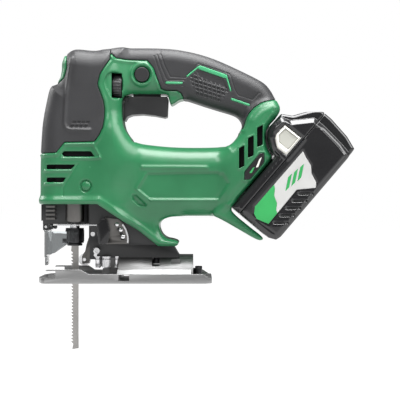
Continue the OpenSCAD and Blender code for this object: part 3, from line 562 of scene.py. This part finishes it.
def side_details(b):
    """Beads, panels and grooves of the green sides, as a height map in side view."""
    h = 0.8 * ridge(b.line((18.6, 104.4), (76.6, 104)), 1.7)
    h = h - 0.9 * ridge(b.line((24, 98), (86, 99)), 1.1)
    h = h - 0.9 * step_down(b.inside(PANEL_LINE), 1.2)
    h = h + 0.9 * ridge(b.line((26, 74.8), (84.8, 74.8)), 1.2)
    h = h + 0.5 * ridge(b.line((26, 74.8), (13, 84.8), (21, 98)), 1.2)
    h = h - 2.0 * step_down(b.inside([(10, 79), (13, 79), (22, 70.6), (20, 69.2), (15, 70.4), (10, 75)]), 1.2)
    h = h + 0.7 * ridge(b.line((-54, 112.4), (-25, 112.4), (-20, 113)), 0.9)
    h = h + 0.6 * ridge(b.line((-60, 116), (-53, 125.2), (-26, 125.2), (-19, 113)), 0.9)
    h = h + 0.7 * ridge(b.line((-70, 101.2), (-46, 101.2)), 0.9)
    h = h + 0.7 * ridge(b.line((-70, 89.5), (-53.4, 89.5)), 0.9)
    h = h - 0.5 * ridge(b.line((-40, 107), (-53, 86), (-53, 79)), 0.8)
    lip = b.line((-80, 74.4), (-21, 74.4), (1.4, 60), (17.8, 49.4), (33.6, 36.6), (50, 36.4))
    h = h + 1.5 * ridge(lip, 3.2)
    plug = b.spot(-32.3, 87.5)
    h = h - 1.3 * ridge(plug - 4.8, 0.75) + 0.5 * ridge(plug, 3.5)
    h = h + 0.6 * ridge(b.inside(BADGE_LINE) - 0.9, 0.8)
    for line in VENT_LINES[3:]:
        h = h + 0.35 * ridge(b.inside(line) - 0.7, 0.6)
    rim = b.line(*uvs((1, -3), (56, -3), (59, -12), (66, -20.5), (76, -26), (88, -27)))
    h = h + 1.1 * ridge(rim, 2.4)
    h = h - 0.6 * ridge(b.inside(COVER_LINE), 0.8) + 0.5 * ridge(b.inside(COVER_LINE) - 2.0, 1.3)
    h = h - 0.6 * ridge(b.inside(GRIP_LINE), 0.8) + 0.5 * ridge(b.inside(GRIP_LINE) - 2.0, 1.3)
    return 1.35 * h


def skin_zone(b, field, line):
    """The layer under the surface where an elastomer skin lies."""
    return np.maximum(b.inside(line), -(field + SKIN))


def green_shells():
    b = Block((-78, -37, 30), (152, 1, 217), 0.7)
    smooth = outside(b)
    facing = np.clip((b.depth - 13) / 4, 0, 1)
    seam = 0.6 * np.clip(1 - b.depth / 1.0, 0, 1)
    h = side_details(b)
    shell = smooth - h * facing + seam
    shell = np.maximum(shell, np.maximum(NOSE - b.x, b.z - CROWN))
    room = np.maximum(smooth, b.inside(UNDER_LINE) * -1) + WALL
    shell = cut(shell, room)
    for line in (COVER_LINE, GRIP_LINE):
        shell = cut(shell, skin_zone(b, smooth, line) - 0.12)
    for line in VENT_LINES:
        shell = cut(shell, np.maximum(b.inside(line), VENT_FLOOR - b.depth), 0.6)
    shell = cut(shell, np.maximum(b.inside(BADGE_LINE), PACK - 4.2 - b.depth), 0.4)
    trigger_room = b.inside([(-0.4, 146), (-0.4, 172), (42.3, 172), (42.3, 146)])
    shell = cut(shell, np.maximum(trigger_room, b.depth - TRIGGER_HALF), 0.5)
    slider_room = b.inside(uvs((4, -8.6), (4, 1), (63, 1), (63, -8.6)))
    shell = cut(shell, np.maximum(slider_room, b.depth - SLIDER_HALF))
    shell = cut(shell, np.maximum(np.hypot(b.x - PLUNGER_X, b.y) - ROD_ROOM, b.z - 80))
    half = b.y + PARTING
    well = np.maximum(b.spot(*BUTTON) - BUTTON_R, b.y + 9)
    left = cut(shell, well) - 1.9 * ridge(b.spot(*BUTTON) - BUTTON_R - 2.4, 1.7) * facing
    left = cut(left, well, 0.3)
    left = cut(left, np.maximum(b.inside(eased(DIAL_LINE)), -(smooth + 1.9)), 1.0)
    window = b.inside([(-9.5, 167.3), (-9.5, 189.7), (-0.5, 189.7), (-0.5, 167.3)])
    left = cut(left, np.maximum(window, b.y + 2))
    settle(b.mesh(keep(left, half), "housing_shell_left"), "housing_left", "green")
    right = shell
    for place in SCREWS:
        post = np.maximum(b.spot(*place) - POST_R, smooth + 0.4)
        right = join(right, post, 1.5)
    for place in SCREWS:
        right = cut(right, np.maximum(b.spot(*place) - SINK_R, 10 - b.depth), 0.5)
        right = cut(right, b.spot(*place) - CORE_R)
    settle(b.mesh(keep(right, half), "housing_shell_right", mirror=True), "housing_right", "green")


green_shells()


# ---------------------------------------------------------------- elastomer skins and inlays

CHEVRON = [(58.5, 187.5), (62, 190.5), (69.5, 196.4), (94.2, 187.8), (98.2, 174.5)]
CHEVRON_BAR = [(70.5, 195.4), (93.3, 187.4)]
FRONT_BAR = [(40, 181.6), (53.5, 181.4)]
BACK_BAR = [(99.5, 166.6), (114.6, 161.4)]
PATTERN_TILT = math.radians(-17.5)


def inlay_zone(b, grow=0.0):
    """Side view of the pale inlays in the grip."""
    zone = np.minimum(b.line(*CHEVRON_BAR) - 1.9, b.line(*CHEVRON) - 0.75)
    zone = np.minimum(zone, b.line(*FRONT_BAR) - 1.1)
    return np.minimum(zone, b.line(*BACK_BAR) - 1.1) - grow


def rhomb_rows(b, rows):
    """Small slanted pits: 1 inside each pit. rows holds a height and the places along it."""
    pits = 0.0
    for z, places in rows:
        for x in places:
            across = np.abs(b.x - x - 0.5 * (b.z - z)) - 1.35
            up = np.abs(b.z - z) - 0.85
            pits = np.maximum(pits, step_down(np.maximum(across, up), 0.5))
    return pits


def palm_pattern(b):
    """Rows of small pits where the fingers lie, slanting down to the back."""
    c, s = math.cos(PATTERN_TILT), math.sin(PATTERN_TILT)
    along = (b.x - 77) * c + (b.z - 176) * s
    up = -(b.x - 77) * s + (b.z - 176) * c
    row = np.round(up / 3.3)
    across = np.abs((along + row * 1.4 + 0.5 * (up - row * 3.3)) % 4.2 - 2.1) - 1.35
    tall = np.abs(up - row * 3.3) - 0.95
    area = step_down(b.inside([(61, 187), (66, 190), (92, 181.5), (96, 174), (88, 164.5), (66, 170.6)]), 1.5)
    return step_down(np.maximum(across, tall), 0.5) * area


def cover_details(b):
    """Folded edge, sunk pad and two rows of pits on the head."""
    fold = b.line((-45.5, 203), (-48.5, 186), (-50.6, 164), (-51.6, 144), (-50.2, 139.6), (-46, 138.2),
                  (-29, 138))
    pad = b.inside([(-44, 206), (-48.5, 186), (-51.6, 142), (-47, 138.2), (-27, 138), (-20, 150),
                    (-21, 166), (-26, 180), (-24, 206)])
    rows = ((144.8, (-43, -39, -35, -31)), (141.2, (-45, -41, -37, -33)))
    return 1.5 * ridge(fold, 1.5) - 0.3 * step_down(pad, 3.0) - 1.6 * rhomb_rows(b, rows)


def grip_details(b):
    """Grooves, the hollow over the chevron and the palm pits on the handle."""
    front = b.line((31.5, 207), (35, 196), (40, 184.6), (42, 184), (56, 183.8))
    around = b.line((34.5, 208), (38, 197.5), (43.2, 187), (57, 186.2), (61, 190.6), (68.8, 199),
                    (97.5, 189.4), (102, 175), (105, 170.2), (118, 166), (124, 172.4))
    lower = b.line((28.6, 206), (32.4, 194), (37.5, 180.4), (41, 178.6), (55.5, 178.6))
    across = b.line((34.1, 216), (34.1, 205))
    hollow = b.inside([(68, 191.6), (71, 192.2), (90.6, 185.4), (94.6, 176), (91.5, 178.8), (70, 186.6)])
    h = -0.55 * ridge(front, 0.55) - 0.45 * ridge(around, 0.55) - 0.45 * ridge(lower, 0.55)
    return h - 0.35 * ridge(across, 0.6) - 1.8 * step_down(hollow, 1.6) - 1.25 * palm_pattern(b)


def skins(name, low, high, line, details, cutters):
    """Both halves of an elastomer skin over an outline."""
    b = Block(low, high, 0.5)
    smooth = outside(b)
    facing = np.clip((b.depth - 9) / 4, 0, 1)
    seam = 0.5 * np.clip(1 - b.depth / 0.9, 0, 1)
    relief = np.maximum(details(b), -1.25)
    skin = keep(smooth - 0.15 - relief * facing + seam, b.inside(line) + 0.1, 0.9)
    skin = cut(skin, smooth + SKIN - 0.3)
    skin = cutters(b, skin, smooth)
    for side in ("left", "right"):
        piece = skin
        if side == "right":
            for place in SCREWS:
                if low[0] < place[0] < high[0] and low[2] < place[1] < high[2]:
                    piece = cut(piece, b.spot(*place) - SINK_R, 0.4)
        made = b.mesh(keep(piece, b.y + SKIN_PARTING), f"{name}_skin_{side}", mirror=side == "right")
        settle(made, f"{name}_{side}", "elastomer")
    return b, smooth


def head_skins():
    skins("head_cover", (-77.5, -33, 114), (-9, 1, 217), COVER_LINE, cover_details, lambda b, s, _: s)


def grip_skins():
    def seat(b, skin, smooth):
        return cut(skin, np.maximum(inlay_zone(b, 0.15), 6 - b.depth), 0.3)

    b, smooth = skins("handle_grip", (-13, -24, 137), (148, 1, 217), GRIP_LINE, grip_details, seat)
    inlay = keep(np.maximum(inlay_zone(b), 7 - b.depth), smooth - 0.35, 0.7)
    inlay = cut(inlay, smooth + SKIN - 0.4)
    for side in ("left", "right"):
        made = b.mesh(keep(inlay, b.y + SKIN_PARTING), f"grip_inlays_{side}", mirror=side == "right")
        addition(made, f"handle_grip_{side}", "mint")


head_skins()
grip_skins()


# ---------------------------------------------------------------- battery

SEAM_V = 9.0
PACK_SIDE = uvs(
    (0.6, 0.4), (61, 0.4), (61.2, -2.8), (63.4, -9.4), (69.4, -16.4), (74.8, -20), (81, -21.4),
    (91, -19), (94.6, -10), (110, 4.6), (110, 17), (108, 38), (106, 50), (102, 51), (9, 51),
    (4.2, 49.5), (1.1, 43),
)
PACK_FULL = uvs((0.6, 0.4), (61, 0.4)) + PACK_LINE[2:]
LATCH_LINE = uvs((88, -12), (88.6, 7.2), (67.4, 7.2), (67, -4), (72, -10.3), (76, -12.6))
LABEL_LINE = [
    (162.5, 118.9), (165.2, 113.0), (169.9, 105.6), (170.2, 98.8), (174.5, 90.4), (174.1, 85.6),
    (156.9, 83.9), (131.6, 53.2), (121, 57.6), (118.4, 62.4), (119.2, 69),
]


def battery_shells():
    """Case and cover of the pack: one body parted along a straight seam."""
    b = Block((96, -38, 14), (213, 1, 154), 0.55)
    full = b.slab(PACK_FULL, PACK - 7, 4)
    a = b.inside(PACK_SIDE)
    side = np.maximum(np.maximum(a, b.depth - PACK), (a + b.depth - PACK + 4.2) * 0.7071)
    body = keep(join(full, side, 0.8), np.minimum(b.inside(PACK_FULL), a) - 0.05, 1.0)
    facing = np.clip((b.depth - 29) / 2, 0, 1)
    panel = uvs((5, 13), (8, 47), (102, 47.4), (105, 37), (106.6, 17), (104, 11.5))
    h = -0.5 * ridge(b.line(*panel), 0.7)
    h = h - 0.45 * ridge(b.line(*uvs((6, 5.4), (63, 5.6), (63.5, -3), (70, -12.6), (76, -16.6))), 0.7)
    for k in range(5):
        start = 14.6 + 8.6 * k
        h = h - 1.4 * ridge(b.line(*uvs((start, 38), (start + 8.2, 47))), 1.1)
        h = h + 0.8 * ridge(b.line(*uvs((start + 2.0, 38), (start + 10, 47))), 0.6)
    h = h - 0.5 * step_down(b.inside(LABEL_LINE) - 0.4, 0.8)
    h = h + 0.5 * ridge(b.inside(LATCH_LINE) - 3.0, 1.0)
    shell = body - h * facing
    shell = cut(shell, np.maximum(body + 2.6, b.depth - (PACK - 3)))
    shell = cut(shell, np.maximum(b.inside(LATCH_LINE) - 0.2, PACK - 9 - b.depth), 0.4)
    tongue = np.maximum(b.inside(uvs((22, -8), (58, -8), (58, 1.5), (22, 1.5))), b.depth - 20)
    rails = np.maximum(b.inside(uvs((22, -3), (58, -3), (58, 1.5), (22, 1.5))), b.depth - 24)
    shell = join(shell, np.minimum(tongue, rails), 0.6)
    for y in (5, 14):
        mouth = b.inside(uvs((21, -7.4), (36, -7.4), (36, -1.6), (21, -1.6)))
        slot = np.maximum(mouth, np.abs(b.depth - y) - 0.9)
        shell = cut(shell, slot)
    v = (b.x - RAIL[0]) * math.sin(TILT) - (b.z - RAIL[1]) * math.cos(TILT)
    for name, level in (("battery_case", SEAM_V - v), ("battery_cover", v - SEAM_V)):
        piece = keep(shell, level + 0.15, 0.5)
        whole = b.mesh(keep(piece, b.y), name + "_half")
        relax(whole, 3)
        settle(mirrored_whole(whole, name + "_shell"), name, "gloss")


def relax(thing, times):
    """Evens out the small steps of a surface from sample points, off the middle plane."""
    bm = bmesh.new()
    bm.from_mesh(thing.data)
    free = [vert for vert in bm.verts if abs(vert.co.y) > 0.001]
    for _ in range(times):
        bmesh.ops.smooth_vert(bm, verts=free, factor=0.5, use_axis_x=True, use_axis_y=True, use_axis_z=True)
    bm.to_mesh(thing.data)
    bm.free()


def mirrored_whole(half, name):
    """One object from a left half and its mirror image, welded on the middle plane."""
    data = half.data
    bm = bmesh.new()
    bm.from_mesh(data)
    flat = [f for f in bm.faces if all(abs(v.co.y) < 0.0001 for v in f.verts)]
    bmesh.ops.delete(bm, geom=flat, context="FACES")
    twin = bmesh.ops.duplicate(bm, geom=bm.verts[:] + bm.edges[:] + bm.faces[:])["geom"]
    other = [g for g in twin if isinstance(g, bmesh.types.BMVert)]
    for vert in other:
        vert.co.y *= -1
    bmesh.ops.reverse_faces(bm, faces=[g for g in twin if isinstance(g, bmesh.types.BMFace)])
    seam = [vert for vert in bm.verts if abs(vert.co.y) < 0.0003]
    bmesh.ops.remove_doubles(bm, verts=seam, dist=0.0002)
    bm.to_mesh(data)
    bm.free()
    half.name = name
    return half


battery_shells()


def latches():
    """Release buttons with a pale pressed face on each side of the pack."""
    b = Block((136, -38.4, 108), (166, -29, 148), 0.4)
    edge = b.inside(LATCH_LINE)
    top = PACK + 0.6
    face = uvs((85.6, -9.4), (86.2, 5.0), (72.6, 5.0), (72.4, -5.6), (77, -10.2))
    body = np.maximum(edge + 0.4, np.abs(b.depth - (top - 3)) - 3)
    body = keep(body, (edge + b.depth - top + 2.0) * 0.7071)
    pressed = np.maximum(b.inside(face), top - 1.7 - b.depth)
    body = cut(body, pressed, 0.3)
    body = cut(body, np.maximum(b.spot(*uv(78, -3)) - 3.4, b.depth - (PACK - 2)))
    across = (b.x - 150) * math.cos(TILT) + (b.z - 128) * math.sin(TILT)
    sheet = np.abs(b.depth - (top - 1.6)) - 0.8
    plate = np.maximum(b.inside(face) + 0.25, sheet + 0.05 * np.clip(across, -9, 9))
    for side, mirror in (("left", False), ("right", True)):
        settle(b.mesh(body, f"latch_button_{side}", mirror), f"battery_latch_{side}", "latch")
        addition(b.mesh(plate, f"latch_face_{side}", mirror), f"battery_latch_{side}", "latch_face")


latches()


def label_print():
    """Printed film with a plain two colour pattern and three stripes."""
    b = Block((116, -38.2, 50), (178, -35.4, 122), 0.35)
    level = np.abs(b.depth - (PACK - 0.45)) - 0.32
    film = keep(b.inside(LABEL_LINE) + 0.2, level, 0.2)
    white = b.inside([(136.3, 89.4), (137.4, 85), (136.6, 79), (139.2, 72), (138.4, 66), (140.4, 60),
                      (200, 60), (200, 140), (140, 140)])
    stripe = ((146.5, 82.5), (149.9, 86), (152.6, 98.6), (149.2, 95.4))
    stripes = 1e3
    for k in range(3):
        stripes = np.minimum(stripes, b.inside([(x + 5.4 * k, z + 4.4 * k) for x, z in stripe]))
    zones = (("green", keep(film, -white), "print_green"),
             ("white", keep(keep(film, white), -stripes), "print_white"),
             ("stripes", keep(film, stripes), "print_green"))
    for name, field, finish in zones:
        for side, mirror in (("left", False), ("right", True)):
            made = b.mesh(field, f"label_{name}_{side}", mirror)
            settle(made, "battery_label", finish)


label_print()


# ---------------------------------------------------------------- hard parts with worked edges

def worked(node, width):
    """A CAD node's shape with its sharp edges rounded off."""
    data = frame["nodes"][node].data.copy()
    bm = bmesh.new()
    bm.from_mesh(data)
    bmesh.ops.remove_doubles(bm, verts=bm.verts, dist=2e-6)
    bmesh.ops.dissolve_limit(bm, angle_limit=math.radians(1.5), verts=bm.verts, edges=bm.edges)
    bm.to_mesh(data)
    bm.free()
    thing = bpy.data.objects.new(node + "_worked", data)
    bpy.context.scene.collection.objects.link(thing)
    rounding = thing.modifiers.new("rounding", "BEVEL")
    rounding.width = width * MM
    rounding.segments = 2
    rounding.limit_method = "ANGLE"
    rounding.angle_limit = math.radians(32)
    graph = bpy.context.evaluated_depsgraph_get()
    final = bpy.data.meshes.new_from_object(thing.evaluated_get(graph))
    thing.modifiers.clear()
    thing.data = final
    final.polygons.foreach_set("use_smooth", [True] * len(final.polygons))
    final.set_sharp_from_angle(angle=math.radians(28))
    return settle(thing, node, next(f for f, ns in NODE_FINISH.items() if node in ns.split()))


EDGES = {
    "gear_case": 0.6, "front_light": 0.35, "trigger": 1.1, "base_plate": 0.5, "base_bracket": 0.45,
    "orbit_plate": 0.35, "orbit_grip": 0.9, "roller_fork": 0.3, "chip_guard": 0.5, "tilt_lock_lever": 0.5,
    "lock_button": 0.7, "speed_dial": 0.25, "badge_plates": 0.3, "blade_holder": 0.3, "clamp_sleeve": 0.25,
    "housing_screws": 0.3, "yoke": 0.4, "gear_frame": 0.5,
}
for node_name, width in EDGES.items():
    worked(node_name, width)


# ---------------------------------------------------------------- small parts added to the frame

def shaped(name, like, finish, points, faces, both=True):
    """A piece from points in millimetres, with its mirror image on the right if both."""
    sides = (1, -1) if both else (1,)
    verts, skin = [], []
    for sign in sides:
        skin += [[i + len(verts) for i in f] for f in faces]
        verts += [(x * MM, sign * y * MM, z * MM) for x, y, z in points]
    data = bpy.data.meshes.new(name)
    data.from_pydata(verts, [], skin)
    bm = bmesh.new()
    bm.from_mesh(data)
    bmesh.ops.recalc_face_normals(bm, faces=bm.faces)
    bm.to_mesh(data)
    bm.free()
    data.polygons.foreach_set("use_smooth", [True] * len(data.polygons))
    data.set_sharp_from_angle(angle=math.radians(32))
    thing = bpy.data.objects.new(name, data)
    bpy.context.scene.collection.objects.link(thing)
    return addition(thing, like, finish)


def turned(name, like, finish, centre, profile, axis="y", both=True, steps=40):
    """A lathe piece: pairs of radius and height along its axis, closed at both ends."""
    points, faces = [], []
    for r, h in profile:
        for k in range(steps):
            c, s = r * math.cos(2 * math.pi * k / steps), r * math.sin(2 * math.pi * k / steps)
            step = (c, -h, s) if axis == "y" else (c, s, h)
            points.append(tuple(a + d for a, d in zip(centre, step)))
    for ring in range(len(profile) - 1):
        for k in range(steps):
            n = (k + 1) % steps
            faces.append([ring * steps + k, ring * steps + n, (ring + 1) * steps + n, (ring + 1) * steps + k])
    faces.append(list(range(steps)))
    faces.append(list(range((len(profile) - 1) * steps, len(profile) * steps)))
    return shaped(name, like, finish, points, faces, both)


def leaf(name, like, finish, outline, y, thick, edge=0.3, both=True):
    """A flat piece with its outline in side view, its outer face at depth y and a small chamfer."""
    count = len(outline)
    middle = Vector((sum(x for x, _ in outline) / count, sum(z for _, z in outline) / count))
    points, faces = [], []
    for depth, shrink in ((y - thick, 0), (y - edge, 0), (y, edge)):
        for x, z in outline:
            pull = (middle - Vector((x, z))).normalized() * shrink
            points.append((x + pull.x, -depth, z + pull.y))
    for ring in range(2):
        for k in range(count):
            n = (k + 1) % count
            faces.append([ring * count + k, ring * count + n, (ring + 1) * count + n, (ring + 1) * count + k])
    faces += [list(range(count)), list(range(2 * count, 3 * count))]
    return shaped(name, like, finish, points, faces, both)


CASE = -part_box("gear_case")[0].y / MM
MIRROR = Matrix.Scale(-1, 4, (0, 1, 0))


def gear_head():
    """Collar, ribs, edge strip and fasteners round the gear head."""
    turned("plunger_collar", "gear_case", "plate", (PLUNGER_X + 2, -(CASE - 4), 0),
           [(7.2, 54.6), (8.6, 55.4), (8.8, 56.4), (8.8, 71.8), (7, 71.9)], "z", steps=64)
    leaf("collar_shadow", "gear_case", "shade", [(-34.6, 54), (-32.2, 54), (-32.2, 72), (-34.6, 72)],
         CASE + 2.2, 3)
    for k in range(4):
        z = 57 + 3.6 * k
        leaf(f"front_rib_{k}", "front_light", "plate", [(-69.6, z), (-61, z), (-61, z + 2), (-69.6, z + 2)],
             CASE + 0.9, 2.6, 0.5)
    leaf("edge_strip", "gear_case", "steel", [(-63, 51.6), (-23, 51.6), (-23, 52.5), (-63, 52.5)],
         CASE + 0.3, 8, 0.2)
    socket = [(3.6, -2), (3.6, 0.9), (3.1, 1.4), (2.0, 1.4), (1.7, 0.2), (0.2, 0.2)]
    turned("pivot_screw", "gear_case", "steel", (-23.4, -CASE, 28.8), [(r * 0.85, h) for r, h in socket])
    turned("front_screw", "gear_case", "oxide", (-66, -CASE, 49.5), [(r * 0.5, h) for r, h in socket])
    post = [(0.2, 12.6), (2.2, 12.8), (2.7, 13.6), (2.7, 20.5), (2.2, 21), (2.2, 22), (2.8, 22.2),
            (2.8, 23.4), (0.2, 23.6)]
    for place, at, girth in (("front", (-23.2, -12, 0), 1), ("rear", (-15, -14.5, 0), 1.5),
                             ("small", (-5.8, -12, 0), 0.8)):
        turned(f"guide_post_{place}", "base_bracket", "steel", at, [(r * girth, h) for r, h in post], "z")


def orbit_marks():
    """Bright detents and the raised rim of the selector plate."""
    front = -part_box("orbit_plate")[0].y / MM
    cx, cz = ORBIT
    dome = [(2.1, -0.4), (2.0, 0.1), (1.5, 0.6), (0.8, 0.85), (0.1, 0.9)]
    for k, (x, z) in enumerate(((-5.2, 52.9), (-1.6, 48.0), (0.4, 41.6))):
        turned(f"detent_{k}", "orbit_plate", "steel", (x, -front, z), dome, both=False)
    arc = [math.radians(a) for a in range(-8, 41, 6)]
    rim = [(cx + r * math.cos(a), cz + r * math.sin(a))
           for r, turn in ((22.4, arc), (20.9, arc[::-1])) for a in turn]
    leaf("selector_rim", "orbit_plate", "steel", rim, front + 0.7, 1.2, 0.2, both=False)


def vent_shade_sheets():
    """Dark sheets of painted shade behind the rear and front openings, and a pale bar on each badge."""
    for side in ("left", "right"):
        hull = [(103, 100), (108, 100), (130, 122), (130, 146), (124, 146), (103, 126)]
        front = [(-69, 88), (-52, 88), (-52, 109), (-69, 109)]
        for place, outline, y in (("rear", hull, 27.4), ("front", front, 24.6)):
            # Near-black sheet inside the housing: painted shade seen through the opening.
            sheet = leaf(f"{place}_shade_sheet_{side}", f"housing_{side}", "shade", outline, y, 1.0, both=False)
            if side == "right":
                sheet.data.transform(MIRROR)
                sheet.data.flip_normals()
    leaf("badge_bar", "badge_plates", "latch", [(120.4, 104), (122.6, 104.6), (125.6, 113.4), (123.6, 111.6)],
         PACK - 2.7, 0.6, 0.1)
    leaf("badge_stripe", "badge_plates", "print_green",
         [(114.6, 99.2), (116.6, 99.2), (119.4, 104.6), (117.6, 103.6)], PACK - 2.7, 0.6, 0.1)


gear_head()
orbit_marks()
vent_shade_sheets()


# ---------------------------------------------------------------- floor, light and camera

CAMERA_AT = (0.0703, -1.1, 0.0749)
CAMERA_ANGLE = 19.1
AIM = Vector((0.07, 0, 0.09))
LAMPS = [("key", (-0.30, -1.0, 1.15), 0.6, 8.5), ("top", (0.15, -0.15, 1.2), 0.9, 34),
         ("right", (1.0, -0.45, 0.85), 0.8, 12), ("edge", (-1.0, 0.5, 0.7), 0.6, 8)]
AMBIENT = 0.22
BACKDROP = 1.0


def stage():
    """Pale floor, a white backdrop that lights the object less than it shows, four soft lamps, camera."""
    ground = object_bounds()[0].z - 0.0006
    bpy.ops.mesh.primitive_plane_add(size=30, location=(0, 0, ground))
    floor = bpy.context.object
    floor.name = "floor"
    paper = Finish("pale_floor", (0.14, 0.14, 0.14), 0.9, Emission_Color=(1, 1, 1, 1), Emission_Strength=0.95)
    paper.bump(paper.noise(paper.place(), 60.0), 0.00005)
    floor.data.materials.append(paper.material)
    floor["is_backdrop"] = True
    world = bpy.data.worlds.new("studio")
    world.use_nodes = True
    nodes = world.node_tree.nodes
    ray = nodes.new("ShaderNodeLightPath")
    level = nodes.new("ShaderNodeMath")
    level.operation = "MULTIPLY_ADD"
    level.inputs[1].default_value = BACKDROP - AMBIENT
    level.inputs[2].default_value = AMBIENT
    world.node_tree.links.new(ray.outputs["Is Camera Ray"], level.inputs[0])
    world.node_tree.links.new(level.outputs[0], nodes["Background"].inputs["Strength"])
    nodes["Background"].inputs["Color"].default_value = (1, 1, 1, 1)
    scene = bpy.context.scene
    scene.world = world
    scene.view_settings.view_transform = "Standard"
    for name, spot, size, power in LAMPS:
        lamp = bpy.data.lights.new(name, "AREA")
        lamp.energy = power
        lamp.size = size
        holder = bpy.data.objects.new(name, lamp)
        holder.location = spot
        holder.rotation_euler = (AIM - Vector(spot)).to_track_quat("-Z", "Y").to_euler()
        scene.collection.objects.link(holder)
    lens = bpy.data.cameras.new("camera")
    lens.angle = math.radians(CAMERA_ANGLE)
    camera = bpy.data.objects.new("camera", lens)
    camera.location = CAMERA_AT
    camera.rotation_euler = (math.pi / 2, 0, 0)
    scene.collection.objects.link(camera)
    scene.camera = camera


stage()
